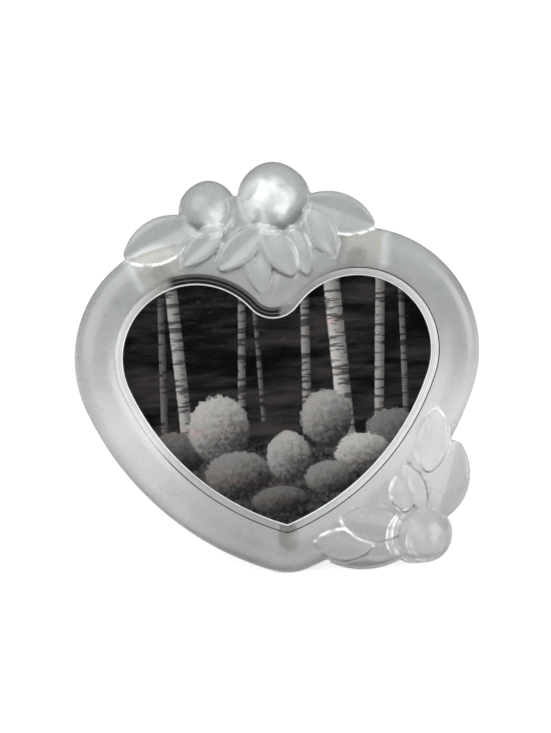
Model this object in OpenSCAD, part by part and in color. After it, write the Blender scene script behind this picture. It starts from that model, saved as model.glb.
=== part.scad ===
// A heart shaped photo frame: a pressed glass heart with berries and leaves in relief, a heart
// shaped print behind its polished window, and a velvet covered back with an easel leg.
// Every piece is drawn flat, with x to the right, y up the frame from its lowest point and z out
// of the glass's back towards the viewer. stand() then leans the frame back, with the middle of
// the flat that is ground on its point at the origin, and the table at z = 0.

/* [Heart window] */
// Radius of the two lobes at the window's edge
lobe_r = 25.7; // [25:0.1:26.4]
// Distance of each lobe's centre from the middle
lobe_x = 28.2; // [27.8:0.1:28.6]
// Height of the lobes' centres over the glass's lowest point
lobe_y = 77.3; // [76.8:0.1:77.8]
// Radius of the long sides that run down to the point
side_r = 87.2; // [86:0.1:88]
// Angle at which a lobe turns into its long side
lobe_turn = -21.4; // [-22:0.1:-20.8]
// Radius of the round notch between the lobes
notch_r = 10.7; // [10:0.1:11.4]
// Radius of the window's point
point_r = 1.5; // [1:0.1:2]

/* [Glass] */
// Width of the glass all round the window
rim_w = 17; // [16:0.5:18]
// Height of the rim's crown over the glass's back
rim_h = 14; // [13:0.5:15]
// Width of the polished bevel round the window
bevel_w = 2.7; // [2.4:0.1:3.4]
// Thickness of the pane in front of the print
pane_t = 5; // [4:0.5:6]
// Depth of the recess for the print and its backing
recess_d = 3.5; // [3.2:0.1:4]
// How much of the lowest point is ground away to make a foot
foot_cut = 1.9; // [1.6:0.1:2.2]

/* [Backing] */
// Thickness of the print
print_t = 0.3; // [0.2:0.05:0.4]
// Thickness of the filler card behind the print
card_t = 1; // [0.8:0.1:1.2]
// Thickness of the backing board
board_t = 3; // [2.6:0.1:3.2]
// Thickness of the velvet on the board and on the leg
velvet_t = 0.5; // [0.4:0.1:0.6]

/* [Easel] */
// How far the frame leans back
lean = 18; // [16:0.5:20]
// How far the leg stands out from the back when it is open
leg_open = 35; // [33:0.5:37]
// Height of the hinge's pin over the glass's lowest point
hinge_y = 75; // [70:0.5:76]
// Width of the hinge
hinge_w = 24; // [22:0.5:26]
// Thickness of the leg's board
leg_t = 1.9; // [1.6:0.1:2.2]
// Width of the leg under the hinge
leg_top_w = 27; // [26:0.5:30]
// Width of the leg at its foot
leg_foot_w = 14; // [12:0.5:18]

/* [Turn clips] */
// Width of a clip's arm
arm_w = 8.6; // [8:0.1:9]
// Distance of a clip's stud from the window's edge
stud_gap = 5.5; // [5:0.1:6]
// Direction of the left clip, seen from the left lobe's centre
left_clip_turn = 109; // [95:1:120]
// Direction of the right clip, seen from the right lobe's centre
right_clip_turn = 86; // [70:1:90]

/* [Hidden] */

glass_tint = [0.84, 0.87, 0.86, 0.55];
clear_tint = [0.9, 0.92, 0.9, 0.5];
glue = [0.86, 0.8, 0.66, 0.7];
fibreboard = [0.62, 0.5, 0.36];
steel = [0.72, 0.72, 0.7];
velvet_black = [0.09, 0.08, 0.08];

// The centres of the arcs that make up the heart, on the right of the middle
notch_y = lobe_y + sqrt(pow(lobe_r + notch_r, 2) - pow(lobe_x, 2));
notch_turn = atan2(notch_y - lobe_y, -lobe_x);
side_x = lobe_x - (side_r - lobe_r) * cos(lobe_turn);
side_y = lobe_y - (side_r - lobe_r) * sin(lobe_turn);
tip_y = side_y - sqrt(pow(side_r - point_r, 2) - pow(side_x, 2));
point_turn = atan2(tip_y - side_y, -side_x);
point_y = tip_y - point_r;

// Levels over the glass's back
pane_front = recess_d + pane_t;
print_back = recess_d - print_t;
card_back = print_back - card_t;
board_back = card_back - board_t;
velvet_back = board_back - velvet_t;

// Points along an arc of n steps, without its last one
function arc(x, y, r, a, b, n) =
    [for (i = [0 : n - 1]) [x + r * cos(a + (b - a) * i / n), y + r * sin(a + (b - a) * i / n)]];

// The right half of the heart, at a distance o outside the window's edge, from notch to point
function half_heart(o) = concat(
    arc(0, notch_y, notch_r - o, -90, notch_turn - 180, 6),
    arc(lobe_x, lobe_y, lobe_r + o, notch_turn, lobe_turn, 32),
    arc(side_x, side_y, side_r + o, lobe_turn, point_turn, 14),
    arc(0, tip_y, point_r + o, point_turn, -90, 2));
function heart(o) = let (half = half_heart(o), n = len(half))
    concat(half, [[0, point_y - o]], [for (i = [n - 1 : -1 : 1]) [-half[i][0], half[i][1]]]);

foot_middle = 2.2;
module stand() {
    translate([0, foot_middle, 0]) rotate([90 - lean, 0, 0]) translate([0, -foot_cut, 0]) children();
}
module above_table() {
    difference() {
        stand() children();
        translate([-100, -100, -40]) cube([200, 200, 40]);
    }
}

// The pressed glass

crown_r = 12;
crown_out = 9.2;
crown_z = rim_h - crown_r;
nose_r = 6.5;
nose_out = rim_w - nose_r;
nose_z = crown_z + sqrt(pow(crown_r - nose_r, 2) - pow(nose_out - crown_out, 2));
nose_turn = atan2(nose_z - crown_z, nose_out - crown_out);
back_r = 1.5;
recess_gap = 0.6;
pane_lap = 1;
lip = 0.25;
web_t = 12;
under = 0.5;

// The rim cut across, as distances out from the window's edge and heights over the glass's back.
// It starts under the back, which is cut flat later with the leaves and berries
back_curve = [[rim_w - back_r - under, -under], [rim_w - back_r / 3, back_r * 2 / 3],
              [rim_w, back_r * 1.6]];
nose_curve = arc(nose_out, nose_z, nose_r, 0, nose_turn, 6);
crown_curve = arc(crown_out, crown_z, crown_r, nose_turn, 120, 5);
bevel_top = [bevel_w, crown_z + sqrt(pow(crown_r, 2) - pow(crown_out - bevel_w, 2))];
function bevel_height(o) = pane_front + (bevel_top[1] - pane_front) * o / bevel_w;
function crown_height(o) = crown_z + sqrt(pow(crown_r, 2) - pow(o - crown_out, 2));

rim_section = concat([[-lip, -under]], back_curve, nose_curve, crown_curve,
    [bevel_top, [-lip, bevel_height(-lip)]]);
notch_section = concat([[0, -under], [0, crown_height(notch_r)]],
    [for (p = crown_curve) if (p[0] < notch_r - lip) [notch_r - p[0], p[1]]],
    [[notch_r - bevel_w, bevel_top[1]], [notch_r + lip, bevel_height(-lip)], [notch_r + lip, -under]]);

module swept(a, b, r, outline) {
    rotate([0, 0, a]) rotate_extrude(angle = b - a, $fn = 120) translate([r, 0]) polygon(outline);
}

module rim() {
    for (side = [0, 1]) mirror([side, 0, 0]) {
        translate([lobe_x, lobe_y, 0]) swept(lobe_turn, notch_turn, lobe_r, rim_section);
        translate([side_x, side_y, 0]) swept(point_turn, lobe_turn, side_r, rim_section);
    }
    translate([0, tip_y, 0]) swept(-180 - point_turn, point_turn, point_r, rim_section);
    translate([0, notch_y, 0]) swept(-notch_turn, notch_turn - 180, 0, notch_section);
}

module pane() {
    translate([0, 0, recess_d - pane_lap]) linear_extrude(pane_t + pane_lap) polygon(heart(pane_lap));
}

module recess() { translate([0, 0, -1]) linear_extrude(recess_d + 1) polygon(heart(recess_gap)); }

// A leaf in relief, from its hidden base to its tip: two arcs meet at each end, and its top is domed
module leaf(base, tip, half_w, top) {
    run = norm(tip - base);
    edge_r = (pow(run / 2, 2) + pow(half_w, 2)) / (2 * half_w);
    dome_r = run;
    translate(concat((base + tip) / 2, 0)) rotate([0, 0, atan2(tip[1] - base[1], tip[0] - base[0])])
        intersection() {
            translate([0, edge_r - half_w, -1]) cylinder(h = top + 2, r = edge_r, $fn = 96);
            translate([0, half_w - edge_r, -1]) cylinder(h = top + 2, r = edge_r, $fn = 96);
            translate([0, 0, top - dome_r]) sphere(dome_r, $fn = 96);
        }
}

// A round berry, which the glass's flat back cuts off
module berry(x, y, r, z) { translate([x, y, z]) sphere(r, $fn = 64); }

// The glass that joins leaves and berries where none of them covers it
module web(x, y, r) { translate([x, y, -1]) cylinder(h = web_t + 1, r = r, $fn = 64); }

// Leaves as their base, tip, half width and height: first those that spread from the notch
top_leaves = [
    [[-24, 125], [-51.8, 113.5], 7.8, 12.5], [[11, 130.5], [37.5, 119.5], 7, 12.5],
    [[-15.5, 122.5], [-31.3, 109.2], 4.8, 15.8], [[-1.5, 121.5], [-18.8, 107], 5.6, 16.5],
    [[-5.6, 117], [-3.7, 97.8], 4.6, 15.6], [[-2, 121.5], [7.8, 103.2], 5.3, 16.8],
    [[7.4, 121], [12.6, 103.3], 4.6, 15.9], [[13.2, 127.5], [22.3, 109.3], 5.1, 15.9]];
// Then those round the bud at the lower right
low_leaves = [
    [[41, 14], [18.2, 19], 6.3, 15.8], [[29, 8.2], [9, 11.2], 5.5, 14.8], [[42, 5], [12.9, 4], 4, 12],
    [[42, 19.5], [38.7, 32.2], 3.9, 16.2], [[47.5, 19], [42.4, 36.8], 3.6, 15.6],
    [[49.5, 32.5], [54.2, 55], 5.8, 15.8], [[51, 15], [61, 44], 8, 13]];

module relief() {
    berry(2.2, 131.4, 12.9, 6.4);
    berry(-21, 129, 10.3, 5);
    berry(46.8, 11.6, 10.6, 7);
    berry(44, 10.8, 9.9, 4.6);
    berry(47.6, 9.3, 6.8, 11.6);
    for (l = concat(top_leaves, low_leaves)) leaf(l[0], l[1], l[2], l[3]);
    web(-11.2, 124.3, 8.6);
    web(10.3, 119.5, 7.2);
    web(31.2, 9.3, 5.4);
    web(41.2, 20.1, 5.6);
    web(16.5, 6.3, 3.1);
}

module glass_body() {
    color(glass_tint) above_table() difference() {
        union() {
            rim();
            pane();
            relief();
        }
        recess();
        translate([-100, -20, -30]) cube([200, 200, 30]);
    }
}

// What lies in the recess

module sheet(o, back, t) { translate([0, 0, back]) linear_extrude(t) polygon(heart(o)); }

module photo_print() { color([0.16, 0.16, 0.16]) stand() sheet(0.3, print_back, print_t); }

module filler_card() { color([0.75, 0.72, 0.66]) stand() sheet(0.2, card_back, card_t); }

rivet_r = 0.9;
rivet_head_r = 1.6;
rivet_head_t = 0.4;
rivet_xs = [-8, 0, 8];
fixed_rivet_up = 7;
moving_rivet_down = 8;
bore_gap = 0.05;

module rivet_places() { for (x = rivet_xs) translate([x, hinge_y + fixed_rivet_up, 0]) children(); }

module backing_board() {
    color(fibreboard) stand() difference() {
        sheet(0.2, board_back, board_t);
        rivet_places() translate([0, 0, board_back - 1]) cylinder(h = board_t, r = rivet_r, $fn = 32);
    }
}

module backing_velvet() {
    color(velvet_black) stand() difference() {
        sheet(0.2, velvet_back, velvet_t);
        rivet_places() translate([0, 0, velvet_back - 1]) cylinder(h = velvet_t + 2, r = rivet_r, $fn = 32);
    }
}

// The turn clips that hold the backing in: a stud glued to the glass, and an arm that turns on it

glue_t = 0.3;
disc_r = 4.5;
disc_t = 1;
disc_back = -glue_t - disc_t;
arm_gap = 0.1;
arm_t = 1.4;
arm_back = disc_back - arm_gap - arm_t;
arm_reach = 8.5;
post_r = 1.2;
post_gap = 0.05;
head_r = 2.4;
head_t = 0.7;
head_back = arm_back - arm_gap - head_t;

stud_ring = lobe_r + stud_gap;
left_stud = [-lobe_x + stud_ring * cos(left_clip_turn), lobe_y + stud_ring * sin(left_clip_turn)];
right_stud = [lobe_x + stud_ring * cos(right_clip_turn), lobe_y + stud_ring * sin(right_clip_turn)];
bottom_stud = [0, point_y - stud_gap];

// Places a clip at its stud, with its arm along x
module clip(stud, turn) { stand() translate(concat(stud, 0)) rotate([0, 0, turn]) children(); }

pad_w = 16;
pad_out = 7.5;
pad_in = stud_gap - recess_gap - 0.5;
dab_r = 4;
module glue_pad() {
    translate([-pad_out, -pad_w / 2, -glue_t]) cube([pad_out + pad_in, pad_w, glue_t]);
}
module glue_dab() { translate([0, 0, -glue_t]) cylinder(h = glue_t, r = dab_r, $fn = 48); }

module clip_stud() {
    translate([0, 0, disc_back]) cylinder(h = disc_t, r = disc_r, $fn = 48);
    translate([0, 0, head_back]) cylinder(h = disc_back - head_back, r = post_r, $fn = 32);
    translate([0, 0, head_back]) cylinder(h = head_t, r = head_r, $fn = 48);
}

module clip_arm() {
    difference() {
        translate([0, 0, arm_back]) union() {
            cylinder(h = arm_t, r = arm_w / 2, $fn = 48);
            translate([0, -arm_w / 2, 0]) cube([arm_reach, arm_w, arm_t]);
            translate([arm_reach, 0, 0]) cylinder(h = arm_t, r = arm_w / 2, $fn = 48);
        }
        translate([0, 0, arm_back - 1]) cylinder(h = arm_t + 2, r = post_r + post_gap, $fn = 48);
    }
}

module glue_pad_left() { color(glue) clip(left_stud, left_clip_turn + 180) glue_pad(); }
module glue_pad_right() { color(glue) clip(right_stud, right_clip_turn + 180) glue_pad(); }
module glue_pad_bottom() { color(glue) clip(bottom_stud, 90) glue_dab(); }
module clip_stud_left() { color(clear_tint) clip(left_stud, left_clip_turn + 180) clip_stud(); }
module clip_stud_right() { color(clear_tint) clip(right_stud, right_clip_turn + 180) clip_stud(); }
module clip_stud_bottom() { color(clear_tint) clip(bottom_stud, 90) clip_stud(); }
module clip_arm_left() { color(clear_tint) clip(left_stud, left_clip_turn + 180) clip_arm(); }
module clip_arm_right() { color(clear_tint) clip(right_stud, right_clip_turn + 180) clip_arm(); }
module clip_arm_bottom() { color(clear_tint) clip(bottom_stud, 90) clip_arm(); }

// The easel's hinge and leg. Both leaves curl round the pin, and the moving leaf's heel meets the
// fixed leaf when the leg is open

leaf_t = 0.8;
pin_r = 0.7;
knuckle_r = 1.4;
fixed_leaf_back = velvet_back - leaf_t;
pin_z = fixed_leaf_back - 1.6;
middle_w = 9;
knuckle_gap = 0.3;
side_w = (hinge_w - middle_w) / 2 - knuckle_gap;
leaf_run = 12;
heel_run = (fixed_leaf_back - pin_z - bore_gap - leaf_t / 2 * cos(leg_open)) / sin(leg_open);

module along_pin(x, w, r) { translate([x, 0, 0]) rotate([0, 90, 0]) cylinder(h = w, r = r, $fn = 48); }

module hinge_fixed_leaf() {
    color(steel) stand() difference() {
        union() {
            translate([-hinge_w / 2, hinge_y + knuckle_r + 1, fixed_leaf_back])
                cube([hinge_w, leaf_run - knuckle_r - 1, leaf_t]);
            for (x = [-hinge_w / 2, hinge_w / 2 - side_w]) {
                translate([x, hinge_y + knuckle_r - leaf_t, fixed_leaf_back]) cube([side_w, 2, leaf_t]);
                translate([x, hinge_y + knuckle_r - leaf_t, pin_z])
                    cube([side_w, leaf_t, velvet_back - pin_z]);
                translate([0, hinge_y, pin_z]) along_pin(x, side_w, knuckle_r);
            }
        }
        translate([0, hinge_y, pin_z]) along_pin(-hinge_w, 2 * hinge_w, pin_r + bore_gap);
        rivet_places() translate([0, 0, velvet_back - 2]) cylinder(h = 4, r = rivet_r + bore_gap, $fn = 32);
    }
}

module hinge_pin() {
    color(steel) stand() translate([0, hinge_y, pin_z]) along_pin(-hinge_w / 2, hinge_w, pin_r);
}

module fixed_leaf_rivets() {
    color(steel) stand() rivet_places() translate([0, 0, fixed_leaf_back - rivet_head_t]) {
        cylinder(h = rivet_head_t, r = rivet_head_r, $fn = 32);
        cylinder(h = rivet_head_t + leaf_t + velvet_t + board_t - 1, r = rivet_r, $fn = 32);
    }
}

// The leg lies along -y from the pin before it is swung out, with its board behind its hinge leaf
board_start = 2.4;
leg_front = -leaf_t / 2;
leg_back = leg_front - leg_t;
leg_run = 92;

module on_pin() { stand() translate([0, hinge_y, pin_z]) rotate([leg_open, 0, 0]) children(); }

module moving_rivet_places() { for (x = rivet_xs) translate([x, -moving_rivet_down, 0]) children(); }

module hinge_moving_leaf() {
    color(steel) on_pin() difference() {
        union() {
            translate([-hinge_w / 2, -leaf_run, -leaf_t / 2])
                cube([hinge_w, leaf_run - knuckle_r - 1, leaf_t]);
            translate([-middle_w / 2, -board_start, -leaf_t / 2])
                cube([middle_w, board_start + heel_run, leaf_t]);
            along_pin(-middle_w / 2, middle_w, knuckle_r);
        }
        along_pin(-hinge_w, 2 * hinge_w, pin_r + bore_gap);
        moving_rivet_places() translate([0, 0, -2]) cylinder(h = 4, r = rivet_r + bore_gap, $fn = 32);
    }
}

module moving_leaf_rivets() {
    color(steel) on_pin() moving_rivet_places() {
        translate([0, 0, leaf_t / 2]) cylinder(h = rivet_head_t, r = rivet_head_r, $fn = 32);
        translate([0, 0, leg_back]) cylinder(h = leg_t + leaf_t + rivet_head_t, r = rivet_r, $fn = 32);
    }
}

module leg_outline() {
    polygon([[-leg_top_w / 2, -board_start - 4], [-leg_top_w / 2 + 4, -board_start],
             [leg_top_w / 2 - 4, -board_start], [leg_top_w / 2, -board_start - 4],
             [leg_foot_w / 2, -leg_run], [-leg_foot_w / 2, -leg_run]]);
}

module leg_sheet(back, t) {
    difference() {
        on_pin() translate([0, 0, back]) linear_extrude(t) leg_outline();
        translate([-100, -100, -40]) cube([200, 200, 40]);
    }
}

module leg_board() {
    color(fibreboard) difference() {
        leg_sheet(leg_back, leg_t);
        on_pin() moving_rivet_places() translate([0, 0, leg_back - 1])
            cylinder(h = leg_t + 2, r = rivet_r, $fn = 32);
    }
}

module leg_velvet() { color(velvet_black) leg_sheet(leg_back - velvet_t, velvet_t); }

glass_body();
photo_print();
filler_card();
backing_board();
backing_velvet();
glue_pad_left();
glue_pad_right();
glue_pad_bottom();
clip_stud_left();
clip_stud_right();
clip_stud_bottom();
clip_arm_left();
clip_arm_right();
clip_arm_bottom();
hinge_fixed_leaf();
hinge_pin();
fixed_leaf_rivets();
hinge_moving_leaf();
moving_leaf_rivets();
leg_board();
leg_velvet();
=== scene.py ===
"""A heart shaped photo frame of pressed glass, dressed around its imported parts."""

import math

import bmesh
import bpy
import numpy as np
from mathutils import Matrix, Vector

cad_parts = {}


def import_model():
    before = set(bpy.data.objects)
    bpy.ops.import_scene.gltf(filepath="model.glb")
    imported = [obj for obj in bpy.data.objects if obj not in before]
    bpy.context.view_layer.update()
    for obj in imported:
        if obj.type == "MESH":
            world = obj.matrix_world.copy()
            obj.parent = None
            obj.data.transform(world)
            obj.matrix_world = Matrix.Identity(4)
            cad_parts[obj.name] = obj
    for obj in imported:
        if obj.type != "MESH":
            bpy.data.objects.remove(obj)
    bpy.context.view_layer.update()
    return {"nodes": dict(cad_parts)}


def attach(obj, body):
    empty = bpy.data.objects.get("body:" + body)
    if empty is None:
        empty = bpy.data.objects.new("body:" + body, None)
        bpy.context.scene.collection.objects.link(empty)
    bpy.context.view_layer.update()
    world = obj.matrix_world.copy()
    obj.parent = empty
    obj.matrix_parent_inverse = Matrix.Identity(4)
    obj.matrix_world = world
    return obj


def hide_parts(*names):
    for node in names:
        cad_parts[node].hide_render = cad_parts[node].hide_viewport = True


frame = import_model()

MM = 0.001

# How the frame stands, as in the part: it leans back on the flat ground on its point
LEAN = math.radians(18)
FOOT_CUT = 1.9
FOOT_MIDDLE = 2.2
STAND = (
    Matrix.Translation((0, FOOT_MIDDLE * MM, 0))
    @ Matrix.Rotation(math.pi / 2 - LEAN, 4, "X")
    @ Matrix.Scale(MM, 4)
    @ Matrix.Translation((0, -FOOT_CUT, 0))
)

# The heart's arcs, in millimetres on the flat glass: x right, y up from its lowest point
LOBE_R, LOBE_X, LOBE_Y = 25.7, 28.2, 77.3
SIDE_R = 87.2
LOBE_TURN = math.radians(-21.4)
NOTCH_R = 10.7
POINT_R = 1.5
NOTCH_Y = LOBE_Y + math.sqrt((LOBE_R + NOTCH_R) ** 2 - LOBE_X**2)
NOTCH_TURN = math.atan2(NOTCH_Y - LOBE_Y, -LOBE_X)
SIDE_X = LOBE_X - (SIDE_R - LOBE_R) * math.cos(LOBE_TURN)
SIDE_Y = LOBE_Y - (SIDE_R - LOBE_R) * math.sin(LOBE_TURN)
TIP_Y = SIDE_Y - math.sqrt((SIDE_R - POINT_R) ** 2 - SIDE_X**2)
POINT_TURN = math.atan2(TIP_Y - SIDE_Y, -SIDE_X)

# The glass cut across, in millimetres
RIM_W, RIM_H = 17, 14
BEVEL_W = 2.7
RECESS_D, PANE_FRONT = 3.56, 8.5
CROWN_R, CROWN_OUT = 12, 9.2
CROWN_Z = RIM_H - CROWN_R
NOSE_R = 6.5
NOSE_OUT = RIM_W - NOSE_R
NOSE_Z = CROWN_Z + math.sqrt((CROWN_R - NOSE_R) ** 2 - (NOSE_OUT - CROWN_OUT) ** 2)
NOSE_TURN = math.atan2(NOSE_Z - CROWN_Z, NOSE_OUT - CROWN_OUT)
BEVEL_TOP = CROWN_Z + math.sqrt(CROWN_R**2 - (CROWN_OUT - BEVEL_W) ** 2)
RECESS_GAP = 0.6

# Before it is cut: how deep the glass runs on under its back, how far over the window, how high over
# the pane, and the turn at which its crown ends
UNDER = -1.5
OVER_WINDOW = -2
OVER_PANE = PANE_FRONT + 0.8
CROWN_END = math.radians(142)


# Shapes on the flat glass


def arc(x, y, r, a, b, n, facing=1):
    """Stations along an arc, without its last one: points and normals that face out of the window."""
    turns = [a + (b - a) * i / n for i in range(n)]
    return [
        ((x + r * math.cos(t), y + r * math.sin(t)), (facing * math.cos(t), facing * math.sin(t)))
        for t in turns
    ]


def window_edge():
    """Stations round the whole heart, from the notch clockwise."""
    half = (
        arc(0, NOTCH_Y, NOTCH_R, -math.pi / 2, NOTCH_TURN - math.pi, 12, -1)
        + arc(LOBE_X, LOBE_Y, LOBE_R, NOTCH_TURN, LOBE_TURN, 90)
        + arc(SIDE_X, SIDE_Y, SIDE_R, LOBE_TURN, POINT_TURN, 64)
        + arc(0, TIP_Y, POINT_R, POINT_TURN, -math.pi / 2, 5)
    )
    point = [((0, TIP_Y - POINT_R), (0, -1))]
    back = [((-p[0], p[1]), (-n[0], n[1])) for p, n in half[:0:-1]]
    return half + point + back


EDGE = window_edge()


def outline(offset):
    """The window's outline at a distance outside its edge."""
    return [(p[0] + n[0] * offset, p[1] + n[1] * offset) for p, n in EDGE]


def mesh_object(name, verts, faces):
    """A piece from vertices in millimetres on the flat glass, stood up in the frame's own place."""
    mesh = bpy.data.meshes.new(name)
    mesh.from_pydata([STAND @ Vector(v) for v in verts], [], faces)
    shell = bmesh.new()
    shell.from_mesh(mesh)
    bmesh.ops.recalc_face_normals(shell, faces=shell.faces)
    shell.to_mesh(mesh)
    shell.free()
    piece = bpy.data.objects.new(name, mesh)
    bpy.context.collection.objects.link(piece)
    return piece


def stacked(rings, close_ends=True):
    """Vertices and faces of a skin through rings of equal length, closed by filling its ends."""
    n = len(rings[0])
    verts = [v for ring in rings for v in ring]
    faces = [
        (k * n + i, k * n + (i + 1) % n, (k + 1) * n + (i + 1) % n, (k + 1) * n + i)
        for k in range(len(rings) - 1)
        for i in range(n)
    ]
    if close_ends:
        faces += [tuple(range(n - 1, -1, -1)), tuple(range((len(rings) - 1) * n, len(rings) * n))]
    return verts, faces


def prism(offset_low, z_low, offset_high, z_high):
    """A heart shaped block whose outline runs from one offset to another."""
    levels = ((offset_low, z_low), (offset_high, z_high))
    return stacked([[(x, y, z) for x, y in outline(o)] for o, z in levels])


def curve(x, z, r, a, b, n):
    """Points along an arc of the rim's section, with both its ends."""
    turns = [a + (b - a) * i / n for i in range(n + 1)]
    return [(x + r * math.cos(t), z + r * math.sin(t)) for t in turns]


def rim():
    """The rim's section swept round the window. It runs on under the back, which is cut flat later."""
    section = [(OVER_WINDOW, UNDER), (RIM_W - 3.1, UNDER), (RIM_W - 0.5, 1), (RIM_W, 2.4)]
    section += curve(NOSE_OUT, NOSE_Z, NOSE_R, 0, NOSE_TURN, 12)
    section += curve(CROWN_OUT, CROWN_Z, CROWN_R, NOSE_TURN, CROWN_END, 14)[1:]
    section += [(OVER_WINDOW, OVER_PANE)]
    rings = [[(p[0] + n[0] * o, p[1] + n[1] * o, z) for o, z in section] for p, n in EDGE]
    verts, faces = stacked(rings, close_ends=False)
    n, last = len(section), (len(EDGE) - 1) * len(section)
    faces += [(last + i, last + (i + 1) % n, (i + 1) % n, i) for i in range(n)]
    return verts, faces


# How far a berry's lumps stand out, as a share of its radius
LUMP = 0.012


def ball(x, y, r, z, n=48):
    """A berry: a ball with slight lumps."""
    rings = []
    for k in range(1, n // 2):
        lat = -math.pi / 2 + math.pi * k / (n // 2)
        ring = []
        for i in range(n):
            turn = 2 * math.pi * i / n
            wave = math.sin(3 * turn + x) + 0.7 * math.sin(5 * turn + 2 * lat)
            reach = r * (1 + LUMP * math.cos(lat) * wave) * math.cos(lat)
            ring.append((x + reach * math.cos(turn), y + reach * math.sin(turn), z + r * math.sin(lat)))
        rings.append(ring)
    return stacked(rings)


# A leaf's vein and its rounded edge lie this far below its crests, and its ends below its middle. Its
# crests lie at this share of its half width
VEIN_DROP, EDGE_DROP, END_DROP = 0.7, 1.2, 1.5
CREST = 0.62


def leaf(base, tip, half_w, top):
    """A leaf of two plump halves with a vein between them: two arcs meet at each end."""
    base, tip = Vector(base), Vector(tip)
    run = (tip - base).length
    along = (tip - base) / run
    across = Vector((-along.y, along.x))
    edge_r = ((run / 2) ** 2 + half_w**2) / (2 * half_w)
    steps, spans = 30, 25
    rings = []
    for k in range(1, steps):
        u = k / steps
        half = math.sqrt(edge_r**2 - (run * (u - 0.5)) ** 2) - (edge_r - half_w)
        middle = base + along * (run * u)
        ring = []
        for j in range(spans):
            v = -1 + 2 * j / (spans - 1)
            if abs(v) < CREST:
                drop = VEIN_DROP * (1 - abs(v) / CREST)
            else:
                drop = EDGE_DROP * (1 - math.sqrt(max(0, 1 - ((abs(v) - CREST) / (1 - CREST)) ** 2)))
            place = middle + across * (v * half)
            ring.append((place.x, place.y, top - END_DROP * (2 * u - 1) ** 2 - drop))
        left, right = middle - across * half, middle + across * half
        ring += [(right.x, right.y, UNDER), (left.x, left.y, UNDER)]
        rings.append(ring)
    return stacked(rings)


# The leaves, as on the part: base, tip, half width and height
TOP_LEAVES = [
    ((-24, 125), (-51.8, 113.5), 7.8, 12.5),
    ((11, 130.5), (37.5, 119.5), 7, 12.5),
    ((-15.5, 122.5), (-31.3, 109.2), 4.8, 15.8),
    ((-1.5, 121.5), (-18.8, 107), 5.6, 16.5),
    ((-5.6, 117), (-3.7, 97.8), 4.6, 15.6),
    ((-2, 121.5), (7.8, 103.2), 5.3, 16.8),
    ((7.4, 121), (12.6, 103.3), 4.6, 15.9),
    ((13.2, 127.5), (22.3, 109.3), 5.1, 15.9),
]
LOW_LEAVES = [
    ((41, 14), (18.2, 19), 6.3, 15.8),
    ((29, 8.2), (9, 11.2), 5.5, 14.8),
    ((42, 5), (12.9, 4), 4, 12),
    ((42, 19.5), (38.7, 32.2), 3.9, 16.2),
    ((47.5, 19), (42.4, 36.8), 3.6, 15.6),
    ((49.5, 32.5), (54.2, 55), 5.8, 15.8),
    ((51, 15), (61, 44), 8, 13),
]
# Two berries and the three balls of the bud, as x, y, radius and height
BALLS = [
    (-21, 129, 10.3, 5), (2.2, 131.4, 12.9, 6.4),
    (44, 10.8, 9.9, 4.6), (46.8, 11.6, 10.6, 7), (47.6, 9.3, 6.8, 11.6),
]
# The glass that joins them where none of them covers it, as x, y and radius
WEBS = [(-11.2, 124.3, 8.6), (10.3, 119.5, 7.2), (31.2, 9.3, 5.4), (41.2, 20.1, 5.6), (16.5, 6.3, 3.1)]


def joined(name, parts):
    """One piece of several closed shapes."""
    verts, faces = [], []
    for v, f in parts:
        faces += [tuple(i + len(verts) for i in face) for face in f]
        verts += v
    return mesh_object(name, verts, faces)


def apply_modifiers(piece):
    """Turns what a piece's modifiers make into its own mesh."""
    held = bpy.context.evaluated_depsgraph_get()
    mesh = bpy.data.meshes.new_from_object(piece.evaluated_get(held))
    piece.modifiers.clear()
    piece.data = mesh


def subtract(piece, tool, material):
    """Takes one piece out of another. The new faces get the given finish."""
    tool.data.materials.append(material)
    step = piece.modifiers.new("cut", "BOOLEAN")
    step.operation = "DIFFERENCE"
    step.solver = "EXACT"
    step.material_mode = "TRANSFER"
    step.object = tool
    apply_modifiers(piece)
    bpy.data.objects.remove(tool)


def block(low, high):
    """A box between two corners."""
    (x0, y0, z0), (x1, y1, z1) = low, high
    return stacked([[(x0, y0, z), (x1, y0, z), (x1, y1, z), (x0, y1, z)] for z in (z0, z1)])


# How many points are measured at a time
BATCH = 8000


def window_distance(points):
    """How far outside the window's edge each point of the flat glass lies, in millimetres."""
    edge = np.array([p for p, n in EDGE])
    facing = np.array([n for p, n in EDGE])
    run = np.roll(edge, -1, axis=0) - edge
    length = (run**2).sum(1)
    out = np.empty(len(points))
    for start in range(0, len(points), BATCH):
        away = points[start : start + BATCH, None, :] - edge[None]
        share = np.clip((away * run).sum(2) / length, 0, 1)
        gap = np.linalg.norm(away - share[..., None] * run, axis=2)
        nearest = gap.argmin(1)
        rows = np.arange(len(nearest))
        side = np.sign((away[rows, nearest] * facing[nearest]).sum(1))
        out[start : start + BATCH] = gap[rows, nearest] * side
    return out


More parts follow.
